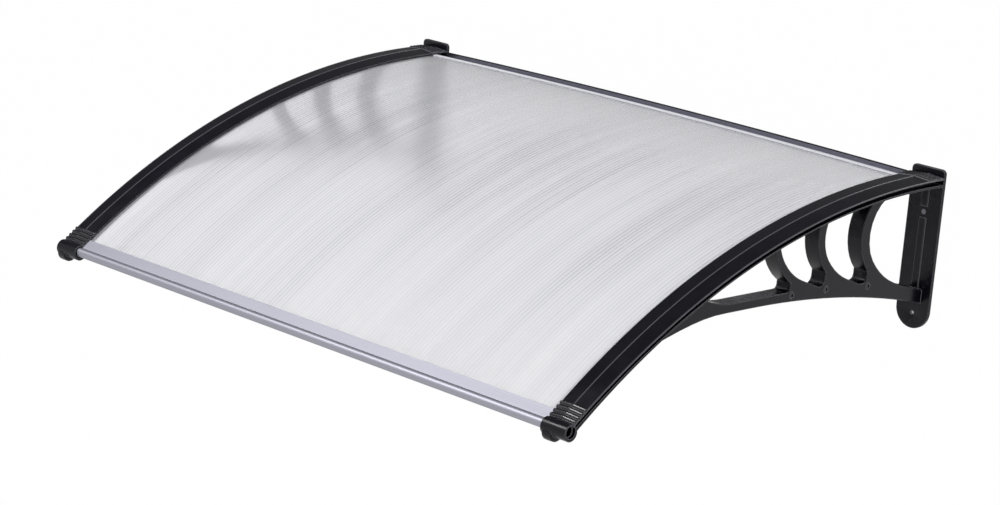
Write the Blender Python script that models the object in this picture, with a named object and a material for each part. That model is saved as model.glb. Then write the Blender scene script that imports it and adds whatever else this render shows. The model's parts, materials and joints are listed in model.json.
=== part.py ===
"""Door canopy: a twin-wall sheet held between two moulded wall brackets.

X runs along the wall, -Y out of it and Z up. The wall's face is Y = 0, and Z = 0 is the
level at which the arc of the brackets' arms meets their wall plates. Sizes are in metres.
In a bracket's side view, "out" is the distance from the wall plate's face.
"""
from math import acos, asin, cos, pi, radians, sin, sqrt, tan

import bmesh
import bpy
from mathutils import Vector

# Whole canopy
WIDTH = 1.002                # over the outer edges of the two wall plates
ARC_RADIUS = 1.120           # of the arms' arc, seen from the side
ARM_RUN = 0.742              # along that arc, from the wall plate to the nose's sockets
CLEARANCE = 0.0003           # between pieces that touch

# Wall plate of a bracket
PLATE_WIDTH = 0.054
PLATE_THICK = 0.0045
PLATE_RISE = 0.0125          # above the arc
PLATE_DROP = 0.2105          # below it
PLATE_CORNER = 0.006
PLATE_EDGE = 0.0007          # bevel round the front
PLATE_RIB_WIDTH = 0.011
PLATE_RIB_THICK = 0.0016
UPPER_HOLE_DROP = 0.049
LOWER_HOLE_DROP = 0.189
HOLE_RADIUS = 0.0018
UPPER_SINK_RADIUS = 0.0072
LOWER_SINK_RADIUS = 0.0048
SINK_DEPTH = 0.0014

# Arm of a bracket: a low gable cap, a web and a lower flange, with a channel on each side
CAP_WIDTH_WALL = 0.0534
CAP_WIDTH_NOSE = 0.0424
CAP_RISE = 0.0010            # of its edges above the arc
CAP_EDGE = 0.0015            # thickness of the cap at its edges
CAP_CREST = 0.0022           # rise of its middle line above its edges
WEB_WIDTH = 0.0246
ARM_DEPTH = 0.0108           # of its lower face below the arc, at both ends
ARM_DIP = 0.0024             # less than that in the middle
FLOOR_WALL = 0.0074          # of the channels' floor below the arc
FLOOR_NOSE = 0.0058
FLANGE_INSET = 0.0015        # from the cap's edge in to the flange's

# Ribs across both ends of the cap
RIB_COUNT = 4
RIB_PITCH = 0.0067
RIB_WIDTH = 0.0040
RIB_HEIGHT = 0.0018
RIB_SPLIT = 0.0012           # gap between the two halves of a rib, along the crest
RIB_BORDER = 0.0006          # plain cap left beyond a rib's outer end
RIB_NOSE_SETBACK = 0.0350    # from the sockets back to the first rib of the front end
RIB_WALL_START = 0.0055      # from the plate to the first rib of the wall end

# Nose at the front end of an arm, with a socket in each side and a rounded chin
NOSE_RADIUS = 0.011
NOSE_HALF = 0.021            # from the bracket's middle to a socket's mouth
NOSE_SINK = 0.0046           # its middle below the arc
SOCKET_SINK = 0.0028         # sockets' axis below the arc
SOCKET_DEPTH = 0.013
MOUTH_RADIUS = 0.0082        # of the wide outer part of a socket
MOUTH_DEPTH = 0.0050
CHIN_RADIUS = 0.0118
CHIN_DROP = 0.0056           # below the nose's middle
CHIN_MIDDLE = -0.0095
CHIN_HALF = 0.0090
CHIN_ROUND = 0.0040

# Side frame below the arm: a lower tie and three curved spokes
FRAME_WIDTH = 0.0240
FRAME_EDGE = 0.0008          # bevel of its edges
TIE_TIP_RUN = 0.590          # where the tie leaves the arm, along the arc
TIE_TIP_SLOPE = 0.25
TIE_ARCH_OUT = 0.355         # its underside is highest from here
TIE_FALL_OUT = 0.415         # to here
TIE_ARCH_DROP = 0.1327
TIE_WALL_DROP = 0.1735       # its underside at the plate
TIE_WALL_SLOPE = 0.240
TIE_THICK = 0.0117           # its slender front stretch
TIE_THICK_WALL = 0.0190      # at the plate
TIE_SWELL_OUT = 0.300        # from here to the plate it thickens
TIE_TOP_SLOPE = 0.28
TIE_FRONT_OUT = 0.397        # from here out its upper side curves up to the arm
TIE_FRONT_RADIUS = 0.140
SPOKE_RUNOUT = radians(20)   # slope at which a spoke's back runs out on the tie
SPOKE_EASE = radians(40)     # below this angle a spoke's back bends less
SPOKE_ROOT = 0.0030          # slanted corner between a spoke's front and the arm
# For each spoke its back and its front as (centre out, centre drop, radius), how much wider the back's
# bend gets, and the front and the fillet of its foot. The drops and radii are shares of the tie's level.
SPOKES = (
    ((0.2496, 0.321, 0.549), (0.2438, 0.338, 0.665), 1.40, 0.2855, 0.0060),
    ((0.1721, 0.457, 0.423), (0.1702, 0.446, 0.555), 2.00, 0.2150, 0.0100),
    ((0.0742, 0.541, 0.451), (0.0802, 0.538, 0.548), 2.20, 0.1255, 0.0080),
)
BOSS_RADIUS = 0.0046
BOSS_HOLE_RADIUS = 0.0024
BOSS_HOLE_DEPTH = 0.0030
BOSS_STAND = 0.0013          # out of the side face
BOSS_SETBACK = 0.0035        # behind the front of the foot
BOSS_DROP = 0.0045           # below the tie's upper side in front of the foot

# Twin-wall sheet
SHEET_THICK = 0.0040
SKIN_THICK = 0.0006
FINE_PITCH = 0.00613         # of the sheet's own cells
CELLS_JOINED = 5             # each cell drawn here stands for this many fine ones
CELL_WALL = 0.0008
SHEET_SIDE_GAP = 0.0012      # to a bracket's web
SHEET_FRONT_GAP = 0.0005     # to the nose

# Front bar: a tube with a slot behind it that grips the sheet
TUBE_RADIUS = 0.0066
TUBE_WALL = 0.0013
TUBE_END_GAP = 0.0010        # to the bottom of a socket
STRIP_WIDTH = 0.0155         # from the back of the lips to the tube
LIP_THICK = 0.0012

# Wall rail: a slot that grips the sheet, a leg to the wall and an upstand
RAIL_LIP_FRONT = 0.0350      # out from the wall
RAIL_LIP_WIDTH = 0.0080
RAIL_UPSTAND_OUT = 0.0015
RAIL_UPSTAND_DROP = 0.0012   # its top below the level of the arc
RAIL_CROWN = 0.0048          # the rail and the sheet bow up by this in the middle

# Seal round the top of the upstand and behind it
SEAL_HEAD = 0.0008           # above the upstand
SEAL_LIP = 0.0006            # in front of the upstand and down over it
SEAL_TAIL = 0.0090           # down behind the upstand

# How finely the curves are drawn
ARM_STEPS = 36
SHEET_STEPS = 16
RAIL_STEPS = 16
ROUND_STEPS = 24

BRACKET_X = (WIDTH - PLATE_WIDTH) / 2
SPAN_HALF = BRACKET_X - max(CAP_WIDTH_WALL, PLATE_WIDTH) / 2 - CLEARANCE
SHEET_FRONT = ARM_RUN - NOSE_RADIUS - SHEET_FRONT_GAP
SHEET_BACK = RAIL_LIP_FRONT - RAIL_LIP_WIDTH + LIP_THICK + CLEARANCE - PLATE_THICK
STRIP_BACK = ARM_RUN - TUBE_RADIUS - STRIP_WIDTH
RAIL_FRONT = RAIL_LIP_FRONT - PLATE_THICK
ROOF_COVER = ARM_DEPTH / 4   # the openings reach this far up into the arm
FRAME_COVER = ARM_DEPTH / 2  # and the frame this far
TIE_LEVEL = TIE_ARCH_DROP - TIE_THICK  # drop of the tie's upper side in front
SHEET_SAG = ((STRIP_BACK - RAIL_FRONT) / SHEET_STEPS) ** 2 / (8 * ARC_RADIUS)

BLACK = (0.012, 0.012, 0.016)
SILVER = (0.70, 0.71, 0.74)
CLEAR = (0.86, 0.88, 0.90)
RUBBER = (0.02, 0.02, 0.022)


def between(start, end, share):
    return start + (end - start) * share


def on_arc(run, rise):
    """Point (y, z) at a distance along the arms' arc, and a rise square to it."""
    angle = run / ARC_RADIUS
    radius = ARC_RADIUS + rise
    return -PLATE_THICK - radius * sin(angle), radius * cos(angle) - ARC_RADIUS


def arc_points(centre, radius, start, end, steps):
    turns = [between(start, end, i / steps) for i in range(steps + 1)]
    return [(centre[0] + radius * cos(turn), centre[1] + radius * sin(turn)) for turn in turns]


def circle(centre, radius, steps=ROUND_STEPS):
    return arc_points(centre, radius, 0, 2 * pi, steps)[:-1]


def hermite(start, end, slope_start, slope_end, share):
    """Height of a smooth curve between two points, with given slopes at its ends."""
    run = end[0] - start[0]
    square = share * share
    cube = square * share
    height = (2 * cube - 3 * square + 1) * start[1] + (3 * square - 2 * cube) * end[1]
    return height + ((cube - 2 * square + share) * slope_start + (cube - square) * slope_end) * run


def crossing(start, end, gap):
    """Value from start to end at which a gap closes that is open at the start."""
    for _ in range(32):
        middle = (start + end) / 2
        if gap(middle) > 0:
            start = middle
        else:
            end = middle
    return end


def inset(loop, amount):
    """A loop moved to the left of its run by the amount, with square corners kept square."""
    moved = []
    for i, point in enumerate(loop):
        here = Vector(point)
        before = (here - Vector(loop[i - 1])).normalized()
        after = (Vector(loop[(i + 1) % len(loop)]) - here).normalized()
        mean = Vector((-before.y - after.y, before.x + after.x)).normalized()
        mitre = max(1 / sqrt(2), mean.dot(Vector((-before.y, before.x))))
        moved.append(tuple(here + mean * amount / mitre))
    return moved


def finish(name, colour, roughness, metallic=0.0, alpha=1.0):
    made = bpy.data.materials.new(name)
    made.use_nodes = True
    shader = made.node_tree.nodes["Principled BSDF"]
    shader.inputs["Base Color"].default_value = (*colour, 1)
    shader.inputs["Roughness"].default_value = roughness
    shader.inputs["Metallic"].default_value = metallic
    shader.inputs["Alpha"].default_value = alpha
    return made


def add_object(name, mesh, location=(0, 0, 0)):
    mesh.shade_smooth()
    mesh.set_sharp_from_angle(angle=radians(28))
    made = bpy.data.objects.new(name, mesh)
    made.location = location
    bpy.context.scene.collection.objects.link(made)
    return made


def loft(name, stations):
    """Solid through stations. Each is a list of closed loops: an outline, then its holes."""
    bm = bmesh.new()
    rings = [[[bm.verts.new(point) for point in loop] for loop in station] for station in stations]
    for near_ring, far_ring in zip(rings, rings[1:]):
        for near, far in zip(near_ring, far_ring):
            for i in range(len(near)):
                bm.faces.new((near[i - 1], near[i], far[i], far[i - 1]))
    for ring in (rings[0], rings[-1]):
        edges = [bm.edges.get((loop[i - 1], loop[i])) for loop in ring for i in range(len(loop))]
        bmesh.ops.triangle_fill(bm, use_beauty=True, use_dissolve=False, edges=edges)
    bmesh.ops.recalc_face_normals(bm, faces=bm.faces)
    mesh = bpy.data.meshes.new(name)
    bm.to_mesh(mesh)
    bm.free()
    return add_object(name, mesh)


def across(loops, x):
    """Loops of (y, z) points stood at x."""
    return [[(x, y, z) for y, z in loop] for loop in loops]


def prism(name, loop, left, right):
    """Solid with one outline of (y, z) points, from left to right along X."""
    return loft(name, [across([loop], left), across([loop], right)])


def turned(name, centre, profile):
    """Solid of circles round a line along X. The profile lists (x, radius)."""
    return loft(name, [across([circle(centre, radius)], x) for x, radius in profile])


def fused(name, base, added, cut):
    """Mesh of a base with some solids joined to it and others cut away."""
    for operation, helpers in (("UNION", added), ("DIFFERENCE", cut)):
        group = bpy.data.collections.new(operation)
        for helper in helpers:
            group.objects.link(helper)
            helper.hide_render = True
            helper.display_type = "WIRE"
        step = base.modifiers.new(operation, "BOOLEAN")
        step.operation = operation
        step.solver = "EXACT"
        step.operand_type = "COLLECTION"
        step.collection = group
    bpy.context.view_layer.update()
    shape = base.evaluated_get(bpy.context.evaluated_depsgraph_get())
    mesh = bpy.data.meshes.new_from_object(shape)
    mesh.name = name
    for helper in (base, *added, *cut):
        bpy.data.objects.remove(helper)
    for group in list(bpy.data.collections):
        bpy.data.collections.remove(group)
    return mesh


def cap_half(run):
    return between(CAP_WIDTH_WALL, CAP_WIDTH_NOSE, run / ARM_RUN) / 2


def cap_top(run, x):
    return CAP_RISE + CAP_CREST * (1 - abs(x) / cap_half(run))


def arm_depth(run):
    """Depth of the arm's lower face below the arc."""
    share = run / ARM_RUN
    return ARM_DEPTH - ARM_DIP * 4 * share * (1 - share)


def channel_floor(run):
    """Rise of the lower flange's upper face."""
    return -between(FLOOR_WALL, FLOOR_NOSE, run / ARM_RUN)


def arm_section(run):
    """Section of the arm as (x, rise) points, from the crest round its right side to its left."""
    half = cap_half(run)
    low_half = half - FLANGE_INSET
    web = WEB_WIDTH / 2
    soft = CAP_EDGE / 4
    floor = channel_floor(run)
    bottom = -arm_depth(run)
    right = [
        (half - soft, CAP_RISE),
        (half, CAP_RISE - soft),
        (half, CAP_RISE - CAP_EDGE),
        (web, CAP_RISE - CAP_EDGE),
        (web, floor),
        (low_half, floor),
        (low_half, bottom + soft),
        (low_half - soft, bottom),
    ]
    return [(0, CAP_RISE + CAP_CREST)] + right + [(-x, rise) for x, rise in reversed(right)]


def arm():
    """The arm, swept along the arc from inside the plate into the nose."""
    stations = []
    for i in range(ARM_STEPS + 1):
        run = between(-PLATE_THICK / 2, ARM_RUN - NOSE_RADIUS / 3, i / ARM_STEPS)
        stations.append([[(x, *on_arc(run, rise)) for x, rise in arm_section(run)]])
    return loft("arm", stations)


def half_rib(run, side):
    """Half of a raised bar across the cap, on one side of its crest."""
    soft = RIB_HEIGHT / 3
    end = run + RIB_WIDTH
    stations = []
    for x in (RIB_SPLIT / 2, cap_half(run) - RIB_BORDER):
        low = cap_top(run, x) - CAP_EDGE / 2
        high = cap_top(run, x) + RIB_HEIGHT
        loop = [(run, low), (end, low), (end, high - soft), (end - soft, high), (run + soft, high),
                (run, high - soft)]
        stations.append([[(side * x, *on_arc(*point)) for point in loop]])
    return loft("rib", stations)


def ribs():
    starts = [RIB_WALL_START + i * RIB_PITCH for i in range(RIB_COUNT)]
    starts += [ARM_RUN - RIB_NOSE_SETBACK + i * RIB_PITCH for i in range(RIB_COUNT)]
    return [half_rib(start, side) for start in starts for side in (-1, 1)]


def plate_outline(shrink):
    """The wall plate from the front, as (x, z) points: two round corners and a round foot."""
    half = PLATE_WIDTH / 2
    corner = PLATE_CORNER - shrink
    level = PLATE_RISE - PLATE_CORNER
    outline = arc_points((half - PLATE_CORNER, level), corner, 0, pi / 2, 4)
    outline += arc_points((PLATE_CORNER - half, level), corner, pi / 2, pi, 4)
    return outline + arc_points((0, half - PLATE_DROP), half - shrink, pi, 2 * pi, 20)


def plate():
    """Wall plate with a bevelled front and two sunk screw holes."""
    holes = ((UPPER_HOLE_DROP, UPPER_SINK_RADIUS), (LOWER_HOLE_DROP, LOWER_SINK_RADIUS))
    layers = (
        (0, 0, 0),
        (PLATE_THICK - SINK_DEPTH, 0, 0),
        (PLATE_THICK - PLATE_EDGE, 0, 1 - PLATE_EDGE / SINK_DEPTH),
        (PLATE_THICK, PLATE_EDGE, 1),
    )
    stations = []
    for depth, shrink, sink in layers:
        loops = [plate_outline(shrink)]
        loops += [circle((0, -drop), between(HOLE_RADIUS, wide, sink), 16) for drop, wide in holes]
        stations.append([[(x, -depth, z) for x, z in loop] for loop in loops])
    return loft("plate", stations)


def plate_ribs():
    """Low rib down the middle of the plate, from the arm to the tie, broken at the upper hole."""
    half = PLATE_RIB_WIDTH / 2
    gap = UPPER_SINK_RADIUS + PLATE_EDGE
    tie = (TIE_WALL_DROP + tie_top_drop(0)) / 2
    stretches = ((CAP_EDGE, UPPER_HOLE_DROP - gap), (UPPER_HOLE_DROP + gap, tie))
    made = []
    for top, bottom in stretches:
        stations = []
        low = PLATE_RIB_THICK / 2
        for rise, shrink in ((-PLATE_EDGE / 2, 0), (low, 0), (PLATE_RIB_THICK, low)):
            loop = inset([(-half, -bottom), (half, -bottom), (half, -top), (-half, -top)], shrink)
            stations.append([[(x, -PLATE_THICK - rise, z) for x, z in loop]])
        made.append(loft("plate_rib", stations))
    return made


def tie_under_drop(out):
    """Drop of the tie's underside at a distance out from the plate."""
    if out > TIE_FALL_OUT:
        tip_y, tip_z = on_arc(TIE_TIP_RUN, -arm_depth(TIE_TIP_RUN))
        tip_out = -PLATE_THICK - tip_y
        share = (out - TIE_FALL_OUT) / (tip_out - TIE_FALL_OUT)
        return hermite((TIE_FALL_OUT, TIE_ARCH_DROP), (tip_out, -tip_z), 0, TIE_TIP_SLOPE, share)
    if out > TIE_ARCH_OUT:
        return TIE_ARCH_DROP
    arch = (TIE_ARCH_OUT, TIE_ARCH_DROP)
    return hermite(arch, (0, TIE_WALL_DROP), 0, -TIE_WALL_SLOPE, 1 - out / TIE_ARCH_OUT)


def tie_top_drop(out):
    """Drop of the tie's upper side, without the spokes."""
    level = TIE_LEVEL
    if out > TIE_FRONT_OUT:
        return level - TIE_FRONT_RADIUS + sqrt(TIE_FRONT_RADIUS ** 2 - (out - TIE_FRONT_OUT) ** 2)
    if out > TIE_SWELL_OUT:
        return level
    end = (0, TIE_WALL_DROP - TIE_THICK_WALL)
    return hermite((TIE_SWELL_OUT, level), end, 0, -TIE_TOP_SLOPE, 1 - out / TIE_SWELL_OUT)


def arm_drop(out, cover):
    """Drop of a line that lies the cover's height above the arm's lower face."""
    run = ARC_RADIUS * asin(out / ARC_RADIUS)
    return ARC_RADIUS - sqrt((ARC_RADIUS - arm_depth(run) + cover) ** 2 - out ** 2)


def outs(start, end, steps):
    return [between(start, end, i / steps) for i in range(steps + 1)]


def in_arm(centre, radius, low, cover):
    """Angle at which a circle comes up to a line that lies the cover's height inside the arm."""
    def gap(angle):
        return centre[1] + radius * sin(angle) - arm_drop(centre[0] + radius * cos(angle), cover)
    return crossing(low, -pi / 2, gap)


def placed_bend(bend):
    """Centre (out, drop) and radius of a spoke's back or front."""
    out, drop, radius = bend
    return (out, drop * TIE_LEVEL), radius * TIE_LEVEL


def spoke_back(spoke):
    """Back of a spoke, from inside the arm down to where it runs out on the tie."""
    centre, radius = placed_bend(spoke[0])
    side = arc_points(centre, radius, in_arm(centre, radius, SPOKE_EASE, ROOF_COVER), SPOKE_EASE, 9)
    more = radius * (spoke[2] - 1)
    centre = (centre[0] - more * cos(SPOKE_EASE), centre[1] - more * sin(SPOKE_EASE))
    side += arc_points(centre, radius + more, SPOKE_EASE, pi / 2 - SPOKE_RUNOUT, 5)[1:]
    out, drop = side[-1]

    def gap(back):
        return tie_top_drop(out - back) - drop - back * tan(SPOKE_RUNOUT)
    end = out - crossing(0, out, gap)
    return side + [(end, tie_top_drop(end))]


def spoke_front(spoke):
    """Front of a spoke, from its foot's fillet on the tie up into the arm."""
    centre, radius = placed_bend(spoke[1])
    foot, fillet = spoke[3:]
    level = tie_top_drop(foot + fillet)
    corner = arc_points((foot + fillet, level - fillet), fillet, pi / 2, pi, 4)
    foot_angle = acos((foot - centre[0]) / radius)
    side = arc_points(centre, radius, foot_angle, in_arm(centre, radius, foot_angle, -SPOKE_ROOT), 10)
    out = side[-1][0] + SPOKE_ROOT
    return corner + side + [(out, arm_drop(out, ROOF_COVER))]


def openings():
    """The four gaps of the side frame as loops of (out, drop) points, from the front one."""
    def gap(out):
        return tie_top_drop(out) - arm_drop(out, ROOF_COVER)
    apex = crossing(TIE_FRONT_OUT, TIE_FRONT_OUT + TIE_FRONT_RADIUS, gap)
    near = [(out, tie_top_drop(out)) for out in outs(apex, TIE_FRONT_OUT, 8)]
    loops = []
    for spoke in SPOKES:
        loops.append(near + spoke_front(spoke))
        near = spoke_back(spoke)
    last = [(out, tie_top_drop(out)) for out in outs(near[-1][0], 0, 5)[1:]]
    loops.append(near + last + [(0, arm_drop(0, ROOF_COVER))])
    closed = []
    for loop in loops:
        roof = outs(loop[-1][0], loop[0][0], 6)[1:-1]
        closed.append(loop + [(out, arm_drop(out, ROOF_COVER)) for out in roof])
    return closed


def frame_outline():
    """Outline of the side frame as (out, drop) points: the tie's underside, the plate, the arm."""
    tip = on_arc(TIE_TIP_RUN, -arm_depth(TIE_TIP_RUN))
    front = -PLATE_THICK - tip[0]
    end = -PLATE_THICK / 2
    under = [(out, tie_under_drop(out)) for out in outs(front, 0, 26)]
    over = [(out, arm_drop(out, FRAME_COVER)) for out in outs(0, front, 26)]
    return under + [(end, under[-1][1]), (end, over[0][1])] + over


def side_frame():
    """Tie and spokes as one body with softened side edges."""
    def placed(loop):
        return [(-PLATE_THICK - out, -drop) for out, drop in loop]
    outline = placed(frame_outline())
    gaps = [placed(loop) for loop in openings()]
    half = FRAME_WIDTH / 2
    stations = []
    for x, edge in ((-half, FRAME_EDGE), (FRAME_EDGE - half, 0), (half - FRAME_EDGE, 0), (half, FRAME_EDGE)):
        loops = [inset(outline, edge)] + [inset(loop, -edge) for loop in gaps]
        stations.append(across(loops, x))
    return loft("side_frame", stations)


def foot_bosses():
    """Small round bosses on both sides of each spoke's foot, and the cutters of their holes."""
    bosses = []
    holes = []
    face = FRAME_WIDTH / 2
    for *_, foot, fillet in SPOKES:
        drop = tie_top_drop(foot + fillet) + BOSS_DROP
        centre = (-PLATE_THICK - foot + BOSS_SETBACK, -drop)
        for side in (-1, 1):
            top = face + BOSS_STAND
            profile = ((face / 2, BOSS_RADIUS), (top - BOSS_STAND / 3, BOSS_RADIUS),
                       (top, BOSS_RADIUS - BOSS_STAND / 3))
            bosses.append(turned("boss", centre, [(side * x, radius) for x, radius in profile]))
            hole = ((top - BOSS_HOLE_DEPTH, BOSS_HOLE_RADIUS), (top + BOSS_STAND, BOSS_HOLE_RADIUS))
            holes.append(turned("boss_hole", centre, [(side * x, radius) for x, radius in hole]))
    return bosses, holes


def nose():
    """Barrel with its chin, and the cutters of the two sockets."""
    axis = on_arc(ARM_RUN, -NOSE_SINK)
    soft = NOSE_RADIUS / 12
    barrel = turned("barrel", axis, (
        (-NOSE_HALF, NOSE_RADIUS - soft),
        (soft - NOSE_HALF, NOSE_RADIUS),
        (NOSE_HALF - soft, NOSE_RADIUS),
        (NOSE_HALF, NOSE_RADIUS - soft),
    ))
    profile = []
    for i in range(-4, 5):
        turn = i / 4 * pi / 2
        x = CHIN_MIDDLE + (CHIN_HALF - CHIN_ROUND) * (i > 0) - (CHIN_HALF - CHIN_ROUND) * (i < 0)
        profile.append((x + CHIN_ROUND * sin(turn), CHIN_RADIUS - CHIN_ROUND + CHIN_ROUND * cos(turn)))
    chin = turned("chin", (axis[0], axis[1] - CHIN_DROP), profile)
    sockets = []
    hollow = on_arc(ARM_RUN, -SOCKET_SINK)
    stages = (
        (NOSE_HALF - SOCKET_DEPTH, TUBE_RADIUS + CLEARANCE),
        (NOSE_HALF - MOUTH_DEPTH, TUBE_RADIUS + CLEARANCE),
        (NOSE_HALF - MOUTH_DEPTH, MOUTH_RADIUS),
        (NOSE_HALF + NOSE_RADIUS, MOUTH_RADIUS),
    )
    for side in (-1, 1):
        sockets.append(turned("socket", hollow, [(side * x, radius) for x, radius in stages]))
    return [barrel, chin], sockets


def bracket_mesh():
    """One bracket is one moulding."""
    bosses, boss_holes = foot_bosses()
    nose_bodies, sockets = nose()
    added = [plate(), side_frame(), *plate_ribs(), *ribs(), *bosses, *nose_bodies]
    return fused("bracket", arm(), added, boss_holes + sockets)


def crown(x):
    """Upward bow at the wall, none at the brackets."""
    return RAIL_CROWN * max(0.0, 1 - (x / SPAN_HALF) ** 2)


def sheet_rise(run, x):
    """Rise of the sheet's upper face. Its sides lie on the brackets' lower flanges."""
    rest = channel_floor(run) + CLEARANCE + SHEET_SAG + SHEET_THICK
    return rest + crown(x) * max(0.0, 1 - (run / STRIP_BACK) ** 2)


def canopy_sheet():
    """Twin-wall sheet, its cells running down the slope and open at both ends."""
    half = BRACKET_X - WEB_WIDTH / 2 - SHEET_SIDE_GAP
    count = round(2 * half / (FINE_PITCH * CELLS_JOINED))
    walls = outs(-half, half, count)
    inner = CELL_WALL / 2
    outline = [(x, 0) for x in walls] + [(x, -SHEET_THICK) for x in reversed(walls)]
    top = -SKIN_THICK
    bottom = SKIN_THICK - SHEET_THICK
    loops = [outline]
    for left, right in zip(walls, walls[1:]):
        left += inner
        right -= inner
        loops.append([(left, top), (left, bottom), (right, bottom), (right, top)])
    stations = []
    for run in (SHEET_BACK, *outs(RAIL_FRONT, STRIP_BACK, SHEET_STEPS), SHEET_FRONT):
        station = []
        for loop in loops:
            station.append([(x, *on_arc(run, sheet_rise(run, x) + rise)) for x, rise in loop])
        stations.append(station)
    return loft("canopy_sheet", stations).data


def front_bar():
    """Tube with two lips behind it that grip the sheet's front edge."""
    axis = on_arc(ARM_RUN, -SOCKET_SINK)
    tube_end = NOSE_HALF - SOCKET_DEPTH + TUBE_END_GAP
    tube = turned("tube", axis, [(side * (BRACKET_X - tube_end), TUBE_RADIUS) for side in (-1, 1)])
    upper = sheet_rise(SHEET_FRONT, 0) + CLEARANCE
    lower = sheet_rise(STRIP_BACK, 0) - SHEET_THICK - CLEARANCE
    into = ARM_RUN - TUBE_RADIUS / 2
    end = BRACKET_X - max(NOSE_HALF, cap_half(STRIP_BACK)) - CLEARANCE
    lips = []
    for low, high in ((upper, upper + LIP_THICK), (lower - LIP_THICK, lower)):
        loop = [on_arc(STRIP_BACK, low), on_arc(STRIP_BACK, high), on_arc(into, high), on_arc(into, low)]
        lips.append(prism("lip", loop, -end, end))
    bore = turned("bore", axis, [(side * BRACKET_X, TUBE_RADIUS - TUBE_WALL) for side in (-1, 1)])
    return fused("front_bar", tube, lips, [bore])


def bowed(name, loop):
    """Solid along X whose section of (y, z) points rises with the crown."""
    stations = []
    for x in outs(-SPAN_HALF, SPAN_HALF, RAIL_STEPS):
        stations.append([[(x, y, z + crown(x)) for y, z in loop]])
    return loft(name, stations).data


def wall_rail():
    """Section with a slot for the sheet's back edge, a leg to the wall and an upstand."""
    front_face = on_arc(RAIL_FRONT, sheet_rise(RAIL_FRONT, SPAN_HALF))[1]
    back_face = on_arc(SHEET_BACK, sheet_rise(SHEET_BACK, SPAN_HALF))[1]
    spare = SHEET_THICK + CLEARANCE
    front = -RAIL_LIP_FRONT
    back = front + RAIL_LIP_WIDTH
    wall = -RAIL_UPSTAND_OUT
    floor = back_face - spare - LIP_THICK
    section = [
        (front, front_face + CLEARANCE),
        (back - LIP_THICK, back_face + CLEARANCE),
        (back - LIP_THICK, back_face - spare),
        (front, front_face - spare),
        (front, front_face - spare - LIP_THICK),
        (back, floor),
        (wall, floor),
        (wall, -RAIL_UPSTAND_DROP),
        (wall - LIP_THICK, -RAIL_UPSTAND_DROP),
        (wall - LIP_THICK, floor + LIP_THICK),
        (back, floor + LIP_THICK),
        (back, back_face + CLEARANCE + LIP_THICK),
        (front, front_face + CLEARANCE + LIP_THICK),
    ]
    return bowed("wall_rail", section)


def wall_seal():
    """Soft strip that caps the upstand and closes the joint to the wall."""
    rear = -RAIL_UPSTAND_OUT + CLEARANCE
    front = -RAIL_UPSTAND_OUT - LIP_THICK - CLEARANCE
    under = -RAIL_UPSTAND_DROP + CLEARANCE
    top = -RAIL_UPSTAND_DROP + SEAL_HEAD
    lip = front - SEAL_LIP
    soft = SEAL_HEAD / 3
    section = [
        (rear, -RAIL_UPSTAND_DROP - SEAL_TAIL),
        (0, -RAIL_UPSTAND_DROP - SEAL_TAIL),
        (0, top - soft),
        (-soft, top),
        (lip + soft, top),
        (lip, top - soft),
        (lip, under - SEAL_LIP),
        (front, under - SEAL_LIP),
        (front, under),
        (rear, under),
    ]
    return bowed("wall_seal", section)


def build():
    for item in list(bpy.data.objects):
        bpy.data.objects.remove(item)
    black = finish("bracket_plastic", BLACK, 0.32)
    silver = finish("bar_aluminium", SILVER, 0.35, metallic=1.0)
    dull = finish("rail_aluminium", SILVER, 0.45, metallic=1.0)
    clear = finish("sheet_polycarbonate", CLEAR, 0.15, alpha=0.55)
    rubber = finish("seal_rubber", RUBBER, 0.6)
    bracket = bracket_mesh()
    pieces = (
        ("bracket_left", bracket, black, -BRACKET_X),
        ("bracket_right", bracket, black, BRACKET_X),
        ("canopy_sheet", canopy_sheet(), clear, 0),
        ("front_bar", front_bar(), silver, 0),
        ("wall_rail", wall_rail(), dull, 0),
        ("wall_seal", wall_seal(), rubber, 0),
    )
    for item in list(bpy.data.objects):
        bpy.data.objects.remove(item)
    for name, mesh, look, x in pieces:
        mesh.materials.clear()
        mesh.materials.append(look)
        add_object(name, mesh, (x, 0, 0))


build()
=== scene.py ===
"""Looks of the door canopy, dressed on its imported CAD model. Metres, in the CAD's frame."""

import json
from math import cos, pi, radians, sin

import bmesh
import bpy
from mathutils import Matrix, Vector

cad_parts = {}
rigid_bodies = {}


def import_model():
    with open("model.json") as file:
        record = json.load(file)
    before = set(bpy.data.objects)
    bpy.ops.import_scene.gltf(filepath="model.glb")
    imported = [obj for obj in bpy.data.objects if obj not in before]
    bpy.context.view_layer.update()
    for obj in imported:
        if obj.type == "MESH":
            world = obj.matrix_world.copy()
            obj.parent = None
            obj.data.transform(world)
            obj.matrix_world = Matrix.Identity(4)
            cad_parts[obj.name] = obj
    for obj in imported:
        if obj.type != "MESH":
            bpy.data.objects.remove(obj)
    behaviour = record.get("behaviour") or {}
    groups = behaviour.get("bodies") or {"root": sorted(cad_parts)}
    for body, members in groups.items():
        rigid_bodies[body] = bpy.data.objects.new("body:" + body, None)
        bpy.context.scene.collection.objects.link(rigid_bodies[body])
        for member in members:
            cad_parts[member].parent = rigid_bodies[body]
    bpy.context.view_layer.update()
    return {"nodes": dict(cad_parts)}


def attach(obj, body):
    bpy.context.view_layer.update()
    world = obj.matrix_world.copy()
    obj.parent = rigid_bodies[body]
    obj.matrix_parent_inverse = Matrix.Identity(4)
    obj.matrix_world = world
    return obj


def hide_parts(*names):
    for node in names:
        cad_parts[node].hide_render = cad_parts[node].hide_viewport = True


for item in list(bpy.data.objects):
    bpy.data.objects.remove(item)

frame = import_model()

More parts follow.
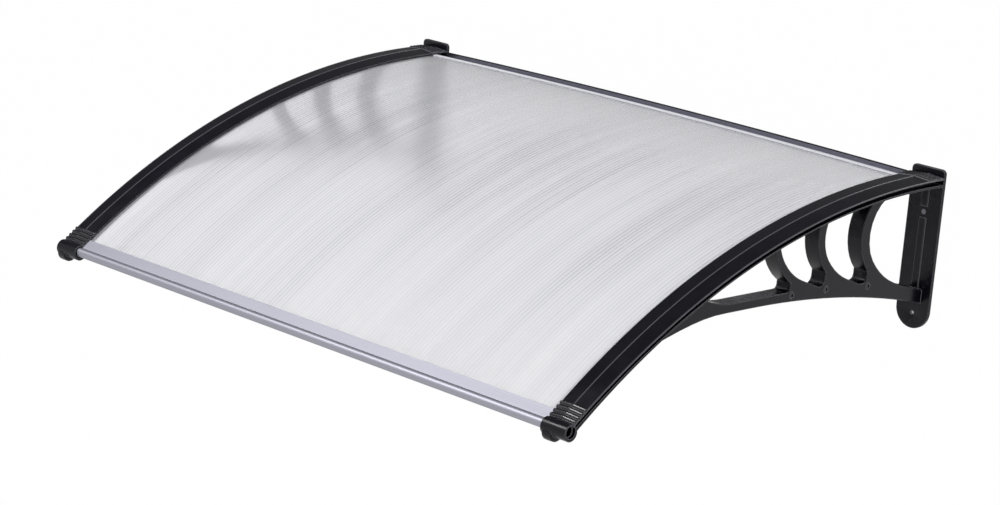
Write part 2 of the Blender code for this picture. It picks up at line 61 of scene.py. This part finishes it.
# The picture's camera
CAMERA_PLACE = (2.6823, -3.1361, 0.7800)
CAMERA_AZIMUTH = radians(43.59)
CAMERA_PITCH = radians(13.84)
CAMERA_ROLL = radians(4.80)
SENSOR = 36.0
PHOTO_WIDTH = 1000           # pixels
FOCAL_PIXELS = 2901.7
CLIP_START = 0.05
CLIP_END = 200

# The stage
FLOOR_LEVEL = -1.3
FLOOR_HALF = 60.0
FLOOR_WHITE = 0.99           # share of plain white that the camera, glass and metal see of it
STUDIO_LIGHT = 0.84
DIM_LIGHT = 0.16             # of the studio's left and rear

# Sizes repeated from the part's source, under its names, for the sheet, the trim and the shades drawn here
WIDTH = 1.002                # over the outer edges of the two wall plates
ARC_RADIUS = 1.120           # of the arms' arc, seen from the side
ARM_RUN = 0.742              # along that arc, from the wall plate to the nose's sockets
CLEARANCE = 0.0003
PLATE_WIDTH = 0.054
PLATE_THICK = 0.0045
UPPER_HOLE_DROP = 0.049
LOWER_HOLE_DROP = 0.189
CAP_WIDTH_WALL = 0.0534
CAP_WIDTH_NOSE = 0.0424
CAP_RISE = 0.0010            # of its edges above the arc
CAP_CREST = 0.0022           # rise of its middle line above its edges
WEB_WIDTH = 0.0246
FLOOR_WALL = 0.0074          # of the channels' floor below the arc
FLOOR_NOSE = 0.0058
RIB_COUNT = 4
RIB_PITCH = 0.0067
RIB_WIDTH = 0.0040
RIB_HEIGHT = 0.0018
RIB_SPLIT = 0.0012
RIB_BORDER = 0.0006
RIB_NOSE_SETBACK = 0.0350
RIB_WALL_START = 0.0055
NOSE_RADIUS = 0.011
SHEET_THICK = 0.0040
SHEET_SIDE_GAP = 0.0012
SHEET_FRONT_GAP = 0.0005
FINE_PITCH = 0.00613         # of the sheet's own cells
TUBE_RADIUS = 0.0066
STRIP_WIDTH = 0.0155
LIP_THICK = 0.0012
RAIL_LIP_FRONT = 0.0350
RAIL_LIP_WIDTH = 0.0080
RAIL_CROWN = 0.0048          # bow of the rail and the sheet in the middle

BRACKET_X = (WIDTH - PLATE_WIDTH) / 2
SPAN_HALF = BRACKET_X - max(CAP_WIDTH_WALL, PLATE_WIDTH) / 2 - CLEARANCE
SHEET_HALF = BRACKET_X - WEB_WIDTH / 2 - SHEET_SIDE_GAP
SHEET_FRONT = ARM_RUN - NOSE_RADIUS - SHEET_FRONT_GAP
SHEET_BACK = RAIL_LIP_FRONT - RAIL_LIP_WIDTH + LIP_THICK + CLEARANCE - PLATE_THICK
STRIP_BACK = ARM_RUN - TUBE_RADIUS - STRIP_WIDTH

# Sizes that are this script's own
SHEET_REST = 0.0005          # from the channels' floor up to the sheet
SHEET_STEPS_ALONG = 48
SHEET_STEPS_ACROSS = 36
RIB_TOP_INSET = 0.0001       # from both ends of half a rib to the top laid on it
RIB_TOP = (                  # outline of that top: ahead of the rib's middle, and above its upper face
    (-0.0018, -0.0004), (-0.0015, 0.0), (-0.0012, 0.0003), (-0.0008, 0.00045), (-0.0004, 0.00040),
    (0.0012, 0.00009), (0.0014, 0.0), (0.0018, -0.0004), (0.0018, -0.0010), (-0.0018, -0.0010),
)
BEAD_RADIUS = 0.0010
BEAD_SIDES = 10
BEAD_STEPS = 60
CREST_BEAD_RUN = (0.0335, 0.7060)    # along the arc, between the ribs at both ends
CREST_BEAD_SINK = 0.0003             # of its middle below the crest
EDGE_BEAD_RUN = (0.0020, 0.7365)
EDGE_BEAD_SINK = 0.0006              # of its middle below the cap's edge, and in from it
# Painted glints: rings of lighter colour round each plate's two holes
PAINTED_GLINT_RINGS = ((UPPER_HOLE_DROP, 0.0036), (LOWER_HOLE_DROP, 0.0030))      # drop and radius, on each plate
RING_FADE = 0.0004                   # in and out from that radius
RING_REACH = 0.0010                  # in front of the plate
# Painted shade on the rail's upstand, which begins behind its pale lip
RAIL_DARKENS = (-0.0200, -0.0150)    # y between its pale lip and its dark upstand
# Painted shadow on the sheet in front of the rail, and painted shade beside the brackets
RAIL_SHADOW_WIDTH = 0.0120                  # shade on the sheet in front of the rail
EDGE_SHADE = (0.441, 0.451)          # and beside the brackets, from the middle

# How corners and edges of the meshes are joined
SAME_CORNER = 2e-6
ON_CREST = 5e-5
SMOOTH_BELOW = radians(30)
TRIM_SMOOTH_BELOW = radians(50)


class Nodes:
    """Short calls that add and join the nodes of one material or world."""

    def __init__(self, tree):
        self.tree = tree

    def add(self, kind, values=None, **settings):
        node = self.tree.nodes.new(kind)
        for key, value in settings.items():
            setattr(node, key, value)
        for key, value in (values or {}).items():
            self.feed(node.inputs[key], value)
        return node

    def feed(self, socket, value):
        if isinstance(value, bpy.types.NodeSocket):
            self.tree.links.new(value, socket)
        else:
            socket.default_value = value

    def math(self, operation, *values):
        node = self.add("ShaderNodeMath", operation=operation)
        for socket, value in zip(node.inputs, values):
            self.feed(socket, value)
        return node.outputs[0]

    def product(self, first, *others):
        for other in others:
            first = self.math("MULTIPLY", first, other)
        return first

    def mix(self, factor, a, b):
        node = self.add("ShaderNodeMix", data_type="RGBA")
        self.feed(node.inputs[0], factor)
        self.feed(node.inputs[6], a)
        self.feed(node.inputs[7], b)
        return node.outputs[2]

    def ramp(self, value, low, high, start=0.0, end=1.0):
        """A smooth change from start to end, as the value goes from low to high."""
        node = self.add("ShaderNodeMapRange", interpolation_type="SMOOTHSTEP")
        for socket, given in zip(node.inputs, (value, low, high, start, end)):
            self.feed(socket, given)
        return node.outputs[0]

    def noise(self, vector, scale, detail):
        node = self.add("ShaderNodeTexNoise", {"Vector": vector, "Scale": scale, "Detail": detail})
        return node.outputs[0]

    def stretched(self, vector, scales, detail):
        """Noise with a scale of its own along each axis."""
        node = self.add("ShaderNodeVectorMath", operation="MULTIPLY")
        self.feed(node.inputs[0], vector)
        self.feed(node.inputs[1], scales)
        return self.noise(node.outputs[0], 1.0, detail)

    def apart(self, vector):
        return self.add("ShaderNodeSeparateXYZ", {"Vector": vector}).outputs

    def bevel(self, radius, samples):
        return self.add("ShaderNodeBevel", {"Radius": radius}, samples=samples).outputs[0]

    def bump(self, height, strength, distance, normal=None):
        node = self.add("ShaderNodeBump", {"Height": height, "Strength": strength, "Distance": distance})
        if normal is not None:
            self.feed(node.inputs["Normal"], normal)
        return node.outputs[0]


def new_material(name):
    made = bpy.data.materials.new(name)
    made.use_nodes = True
    nodes = Nodes(made.node_tree)
    shader = made.node_tree.nodes["Principled BSDF"]
    place = nodes.add("ShaderNodeTexCoord").outputs["Object"]
    return made, nodes, shader, place


def painted_highlight_mask(nodes, place, edge):
    """Mask of painted highlights: 1 where a bracket's edges turn and in painted glints round its plate's
    holes, and 0 elsewhere.
    """
    turned = nodes.add("ShaderNodeVectorMath", operation="DOT_PRODUCT")
    nodes.feed(turned.inputs[0], edge)
    nodes.feed(turned.inputs[1], nodes.add("ShaderNodeNewGeometry").outputs["Normal"])
    mask = nodes.ramp(turned.outputs["Value"], 0.990, 0.88)
    x, y, z = nodes.apart(place)
    on_plate = nodes.math("GREATER_THAN", y, -PLATE_THICK - RING_REACH)
    across = nodes.math("SUBTRACT", nodes.math("ABSOLUTE", x), BRACKET_X)
    for drop, radius in PAINTED_GLINT_RINGS:
        flat = nodes.add("ShaderNodeCombineXYZ", {"X": across, "Y": nodes.math("ADD", z, drop)}).outputs[0]
        away = nodes.add("ShaderNodeVectorMath", {"Vector": flat}, operation="LENGTH").outputs["Value"]
        ring = nodes.product(on_plate, nodes.ramp(away, radius + RING_FADE, radius - RING_FADE))
        mask = nodes.math("MAXIMUM", mask, ring)
    return mask


def plastic(name, low, high, gloss, bright=None, grainy=0.10):
    """Black injection moulding: satin and fine-grained, with painted highlights in a lighter colour along its
    edges and round its plate's holes, where that colour is given.
    """
    made, nodes, shader, place = new_material(name)
    cloud = nodes.noise(place, 26.0, 3.0)
    grain = nodes.noise(place, 1500.0, 2.0)
    ripple = nodes.noise(place, 60.0, 2.0)
    edge = nodes.bevel(0.0016, 10)
    colour = nodes.mix(cloud, low, high)
    # Painted highlights: the lighter colour along the edges and round the plate's holes
    if bright:
        colour = nodes.mix(painted_highlight_mask(nodes, place, edge), colour, bright)
    nodes.feed(shader.inputs["Base Color"], colour)
    nodes.feed(shader.inputs["Roughness"], nodes.ramp(cloud, 0.3, 0.7, 0.22, 0.30))
    shader.inputs["Specular IOR Level"].default_value = gloss
    shader.inputs["IOR"].default_value = 1.46
    wavy = nodes.bump(ripple, 0.10, 0.0006, edge)
    nodes.feed(shader.inputs["Normal"], nodes.bump(grain, grainy, 0.0001, wavy))
    return made


def aluminium(name, low, high, rough, upstand=None):
    """Drawn aluminium with faint lines along X. The rail's upstand has painted shade: a darker, less metallic
    colour behind its lip.
    """
    made, nodes, shader, place = new_material(name)
    drawn = nodes.stretched(place, (1.2, 900.0, 900.0), 3.0)
    cloud = nodes.stretched(place, (6.0, 30.0, 30.0), 2.0)
    mixed = nodes.math("MULTIPLY_ADD", drawn, 0.5, nodes.product(cloud, 0.5))
    colour = nodes.mix(mixed, low, high)
    metallic = 1.0
    if upstand:
        # Painted shade: the upstand darker and less metallic than the lip
        y = nodes.apart(place)[1]
        colour = nodes.mix(nodes.ramp(y, *RAIL_DARKENS), colour, upstand)
        metallic = nodes.ramp(y, *RAIL_DARKENS, 0.35, 1.0)
    nodes.feed(shader.inputs["Metallic"], metallic)
    nodes.feed(shader.inputs["Base Color"], colour)
    nodes.feed(shader.inputs["Roughness"], nodes.ramp(drawn, 0.25, 0.75, rough - 0.05, rough + 0.07))
    nodes.feed(shader.inputs["Normal"], nodes.bump(drawn, 0.05, 0.0002, nodes.bevel(0.0003, 4)))
    return made


def rubber():
    """Dull black seal, with a coarser grain than the moulding's."""
    made, nodes, shader, place = new_material("black_rubber")
    cloud = nodes.noise(place, 40.0, 3.0)
    grain = nodes.noise(place, 900.0, 2.0)
    nodes.feed(shader.inputs["Base Color"],
               nodes.mix(cloud, (0.003, 0.003, 0.004, 1), (0.006, 0.006, 0.007, 1)))
    shader.inputs["Specular IOR Level"].default_value = 0.15
    nodes.feed(shader.inputs["Roughness"], nodes.ramp(grain, 0.3, 0.7, 0.55, 0.7))
    nodes.feed(shader.inputs["Normal"], nodes.bump(grain, 0.2, 0.0002))
    return made


def polycarbonate():
    """Clear sheet with upright walls between its skins, one each cell pitch along X, with painted shadow in
    front of the rail and painted shade beside the brackets.
    """
    made, nodes, shader, place = new_material("clear_polycarbonate")
    x, y = nodes.apart(place)[:2]
    streak = nodes.stretched(place, (45.0, 1.2, 1.2), 3.0)
    broad = nodes.stretched(place, (9.0, 1.5, 1.5), 2.0)
    single = nodes.stretched(place, (330.0, 2.0, 2.0), 1.0)

    # The walls, as stripes down the slope
    pitch = 2 * SHEET_HALF / round(2 * SHEET_HALF / FINE_PITCH)
    phase = nodes.math("FRACT", nodes.math("DIVIDE", nodes.math("ADD", x, SHEET_HALF), pitch))
    wall = nodes.ramp(nodes.math("ABSOLUTE", nodes.math("SUBTRACT", phase, 0.5)), 0.12, 0.42)

    # They differ from one to the next and from place to place, and fade to the rear and the front right
    each = nodes.ramp(single, 0.3, 0.7, 0.5, 1.2)
    region = nodes.ramp(broad, 0.3, 0.7, 0.35, 0.65)
    rear = nodes.ramp(y, -0.08, -0.30)
    front = nodes.ramp(y, -0.42, -0.66, 1.0, nodes.ramp(x, -0.3, 0.2, 1.0, 0.4))
    shown = nodes.product(each, region, rear, front)

    tone = nodes.math("MULTIPLY_ADD", streak, 0.34, nodes.product(broad, 0.10))
    tone = nodes.math("MULTIPLY_ADD", wall, shown, tone)
    # Painted shadow on the sheet in front of the rail's lip
    rail_shadow = nodes.ramp(y, -RAIL_LIP_FRONT - RAIL_SHADOW_WIDTH, -RAIL_LIP_FRONT, 0.0, 0.75)
    tone = nodes.math("ADD", tone, rail_shadow)
    # Painted shade on the sheet beside the brackets
    beside = nodes.ramp(nodes.math("ABSOLUTE", x), *EDGE_SHADE, 0.0, 0.5)
    tone = nodes.math("ADD", tone, beside)

    nodes.feed(shader.inputs["Base Color"],
               nodes.mix(tone, (0.985, 0.985, 1.0, 1), (0.62, 0.615, 0.65, 1)))
    shader.inputs["IOR"].default_value = 1.49
    shader.inputs["Transmission Weight"].default_value = 0.68
    nodes.feed(shader.inputs["Normal"], nodes.bump(wall, 0.15, 0.0002))
    nodes.feed(shader.inputs["Roughness"], nodes.ramp(broad, 0.3, 0.7, 0.13, 0.19))
    return made


def add_piece(name, mesh, look, node=None):
    """Put a mesh on the canopy's one body, in place of a CAD node where it redraws one."""
    mesh.materials.clear()
    mesh.materials.append(look)
    piece = bpy.data.objects.new(name, mesh)
    bpy.context.scene.collection.objects.link(piece)
    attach(piece, "root")
    if node:
        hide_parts(node)


def joined(node, name, crest=None):
    """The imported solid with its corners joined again, smooth over gentle bends but not at the crest."""
    source = frame["nodes"][node].data
    bm = bmesh.new()
    corners = [bm.verts.new(v.co) for v in source.vertices]
    for face in source.polygons:
        bm.faces.new([corners[i] for i in face.vertices])
    bmesh.ops.remove_doubles(bm, verts=bm.verts, dist=SAME_CORNER)
    bmesh.ops.dissolve_degenerate(bm, dist=SAME_CORNER / 2, edges=bm.edges)
    bmesh.ops.recalc_face_normals(bm, faces=bm.faces)
    for face in bm.faces:
        face.smooth = True
    for edge in bm.edges:
        if len(edge.link_faces) != 2:
            continue
        on_crest = crest is not None and all(abs(v.co.x - crest) < ON_CREST for v in edge.verts)
        edge.smooth = not on_crest and edge.calc_face_angle() < SMOOTH_BELOW
    mesh = bpy.data.meshes.new(name)
    bm.to_mesh(mesh)
    bm.free()
    return mesh


def evenly(start, end, steps):
    return [start + (end - start) * i / steps for i in range(steps + 1)]


def add_sides(bm, rings):
    """Faces between each ring of corners and the next."""
    for near, far in zip(rings, rings[1:]):
        for i in range(len(near)):
            bm.faces.new((near[i - 1], near[i], far[i], far[i - 1]))


def finished(bm, name, smooth_below):
    """The mesh of a closed form, smooth where its faces meet below an angle."""
    bmesh.ops.recalc_face_normals(bm, faces=bm.faces)
    mesh = bpy.data.meshes.new(name)
    bm.to_mesh(mesh)
    bm.free()
    mesh.shade_smooth()
    mesh.set_sharp_from_angle(angle=smooth_below)
    return mesh


def on_arc(run, rise):
    """Y and Z at a distance along the arms' arc and a height above it."""
    radius = ARC_RADIUS + rise
    turn = run / ARC_RADIUS
    return -PLATE_THICK - radius * sin(turn), radius * cos(turn) - ARC_RADIUS


def on_sheet(x, run, depth):
    """Point of the sheet at x and a distance along the arc, a depth below its upper face."""
    floor_drop = FLOOR_WALL + (FLOOR_NOSE - FLOOR_WALL) * run / ARM_RUN
    bow = RAIL_CROWN * max(0.0, 1 - (x / SPAN_HALF) ** 2) * max(0.0, 1 - (run / STRIP_BACK) ** 2)
    return x, *on_arc(run, SHEET_REST + SHEET_THICK + bow - floor_drop - depth)


def clear_sheet():
    """The sheet as one bowed slab."""
    across = evenly(-SHEET_HALF, SHEET_HALF, SHEET_STEPS_ACROSS)
    bm = bmesh.new()
    rings = []
    for run in evenly(SHEET_BACK, SHEET_FRONT, SHEET_STEPS_ALONG):
        upper = [bm.verts.new(on_sheet(x, run, 0.0)) for x in across]
        lower = [bm.verts.new(on_sheet(x, run, SHEET_THICK)) for x in reversed(across)]
        rings.append(upper + lower)
    add_sides(bm, rings)
    for ring in (rings[0], rings[-1]):
        for i in range(SHEET_STEPS_ACROSS):
            bm.faces.new((ring[i], ring[i + 1], ring[-2 - i], ring[-1 - i]))
    return finished(bm, "sheet", SMOOTH_BELOW)


def trim(name, lofts):
    """Closed pieces of trim in one mesh, each lofted through its rings of points."""
    bm = bmesh.new()
    for loft in lofts:
        rings = [[bm.verts.new(point) for point in ring] for ring in loft]
        add_sides(bm, rings)
        bm.faces.new(rings[0])
        bm.faces.new(rings[-1])
    return finished(bm, name, TRIM_SMOOTH_BELOW)


def cap_half(run):
    return (CAP_WIDTH_WALL + (CAP_WIDTH_NOSE - CAP_WIDTH_WALL) * run / ARM_RUN) / 2


def bead(span, across, rise):
    """Fine raised line along an arm, at a height above the arc and a place across for each run."""
    ways = [2 * pi * i / BEAD_SIDES for i in range(BEAD_SIDES)]
    return [[(across(run) + BEAD_RADIUS * cos(way), *on_arc(run, rise + BEAD_RADIUS * sin(way)))
             for way in ways]
            for run in evenly(*span, BEAD_STEPS)]


def beads(middle, outward):
    """The lines along a cap's crest and along its outer edge."""
    def edge(run):
        return middle + outward * (cap_half(run) - EDGE_BEAD_SINK)

    return [
        bead(CREST_BEAD_RUN, lambda run: middle, CAP_RISE + CAP_CREST - CREST_BEAD_SINK),
        bead(EDGE_BEAD_RUN, edge, CAP_RISE - EDGE_BEAD_SINK),
    ]


def rib_tops(middle):
    """Tops that slope forward, on both halves of each rib across the two ends of a cap."""
    starts = [RIB_WALL_START + i * RIB_PITCH for i in range(RIB_COUNT)]
    starts += [ARM_RUN - RIB_NOSE_SETBACK + i * RIB_PITCH for i in range(RIB_COUNT)]
    lofts = []
    for start in starts:
        centre = start + RIB_WIDTH / 2
        for side in (-1, 1):
            loft = []
            for x in (RIB_SPLIT / 2 + RIB_TOP_INSET, cap_half(start) - RIB_BORDER - RIB_TOP_INSET):
                high = CAP_RISE + CAP_CREST * (1 - x / cap_half(start)) + RIB_HEIGHT
                loft.append([(middle + side * x, *on_arc(centre + ahead, high + above))
                             for ahead, above in RIB_TOP])
            lofts.append(loft)
    return lofts


def camera():
    """The picture's own viewpoint."""
    azimuth, pitch, roll = CAMERA_AZIMUTH, CAMERA_PITCH, CAMERA_ROLL
    ahead = Vector((-sin(azimuth) * cos(pitch), cos(azimuth) * cos(pitch), -sin(pitch)))
    level = Vector((cos(azimuth), sin(azimuth), 0))
    upright = level.cross(ahead)
    right = level * cos(roll) + upright * sin(roll)
    up = upright * cos(roll) - level * sin(roll)
    turn = Matrix((right, up, -ahead)).transposed()
    data = bpy.data.cameras.new("camera")
    data.sensor_width = SENSOR
    data.lens = FOCAL_PIXELS / PHOTO_WIDTH * SENSOR
    data.clip_start = CLIP_START
    data.clip_end = CLIP_END
    made = bpy.data.objects.new("camera", data)
    made.matrix_world = Matrix.Translation(CAMERA_PLACE) @ turn.to_4x4()
    bpy.context.scene.collection.objects.link(made)
    bpy.context.scene.camera = made


def lamp(name, place, target, side, power):
    """A square area lamp that faces its target."""
    data = bpy.data.lights.new(name, "AREA")
    data.shape = "SQUARE"
    data.size = side
    data.energy = power
    made = bpy.data.objects.new(name, data)
    made.location = place
    made.rotation_mode = "QUATERNION"
    made.rotation_quaternion = (Vector(target) - Vector(place)).to_track_quat("-Z", "Y")
    bpy.context.scene.collection.objects.link(made)


def world():
    """A studio with soft pale light from all round, but dim on the left and behind."""
    made = bpy.data.worlds.new("studio")
    made.use_nodes = True
    nodes = Nodes(made.node_tree)
    made.node_tree.nodes.clear()
    x, y = nodes.apart(nodes.add("ShaderNodeTexCoord").outputs["Generated"])[:2]
    left = nodes.ramp(x, -0.20, -0.50)
    behind = nodes.ramp(y, -0.45, -0.15)
    light = nodes.ramp(nodes.product(left, behind), 0.0, 1.0, STUDIO_LIGHT, DIM_LIGHT)
    soft = nodes.add("ShaderNodeBackground", {"Color": (0.97, 0.97, 1.0, 1), "Strength": light})
    nodes.add("ShaderNodeOutputWorld", {"Surface": soft.outputs[0]})
    bpy.context.scene.world = made


def floor():
    """A pale floor that the camera, glass and metal see as white."""
    mesh = bpy.data.meshes.new("floor")
    far = FLOOR_HALF
    mesh.from_pydata([(-far, -far, 0), (far, -far, 0), (far, far, 0), (-far, far, 0)], [], [(0, 1, 2, 3)])
    made = bpy.data.objects.new("floor", mesh)
    made.location.z = FLOOR_LEVEL
    bpy.context.scene.collection.objects.link(made)
    look = bpy.data.materials.new("floor")
    look.use_nodes = True
    nodes = Nodes(look.node_tree)
    look.node_tree.nodes.clear()
    lit = nodes.add("ShaderNodeBsdfDiffuse", {"Color": (0.9, 0.9, 0.9, 1)})
    white = nodes.add("ShaderNodeEmission", {"Color": (1, 1, 1, 1), "Strength": 1.0})
    path = nodes.add("ShaderNodeLightPath")
    seen = nodes.math("MAXIMUM", path.outputs["Is Camera Ray"], path.outputs["Is Transmission Ray"])
    seen = nodes.math("MAXIMUM", seen, path.outputs["Is Glossy Ray"])
    mixed = nodes.add("ShaderNodeMixShader")
    nodes.feed(mixed.inputs[0], nodes.product(seen, FLOOR_WHITE))
    nodes.feed(mixed.inputs[1], lit.outputs[0])
    nodes.feed(mixed.inputs[2], white.outputs[0])
    nodes.add("ShaderNodeOutputMaterial", {"Surface": mixed.outputs[0]})
    mesh.materials.append(look)


black = plastic("black_moulding", low=(0.0020, 0.0020, 0.0040, 1), high=(0.0045, 0.0045, 0.0080, 1),
                gloss=0.24, bright=(0.180, 0.180, 0.200, 1))
polished = plastic("polished_ribs", low=(0.0030, 0.0030, 0.0050, 1), high=(0.0060, 0.0060, 0.0090, 1),
                   gloss=0.62, grainy=0.02)
# Painted highlight lines: a lighter colour on the beads along the caps' crests and outer edges
bead_highlight_look = plastic("bead_painted_highlight", low=(0.038, 0.038, 0.046, 1), high=(0.065, 0.065, 0.077, 1), gloss=0.70)
silver = aluminium("bar_silver", low=(0.33, 0.33, 0.38, 1), high=(0.39, 0.39, 0.44, 1), rough=0.50)
grey = aluminium("rail_silver", low=(0.84, 0.84, 0.88, 1), high=(0.92, 0.92, 0.96, 1), rough=0.40,
                 upstand=(0.20, 0.20, 0.235, 1))
clear = polycarbonate()
dark = rubber()

ENDS = (("left", -1), ("right", 1))
for end, outward in ENDS:
    moulding = joined("bracket_" + end, "moulding_" + end, crest=outward * BRACKET_X)
    add_piece("moulding_" + end, moulding, black, "bracket_" + end)
add_piece("bar", joined("front_bar", "bar"), silver, "front_bar")
add_piece("rail", joined("wall_rail", "rail"), grey, "wall_rail")
add_piece("seal", joined("wall_seal", "seal"), dark, "wall_seal")
add_piece("sheet", clear_sheet(), clear, "canopy_sheet")
for end, outward in ENDS:
    middle = outward * BRACKET_X
    add_piece("crown_" + end, trim("crown_" + end, rib_tops(middle)), polished)
    add_piece("bead_" + end, trim("bead_" + end, beads(middle, outward)), bead_highlight_look)

camera()
world()
floor()
lamp("key", place=(-1.4, -2.04, 2.2), target=(0.2, -0.5, -0.1), side=0.90, power=56.0)
lamp("rim", place=(1.1, 2.0, 1.9), target=(0.3, -0.3, -0.1), side=0.80, power=14.0)

bpy.context.scene.view_settings.view_transform = "Standard"
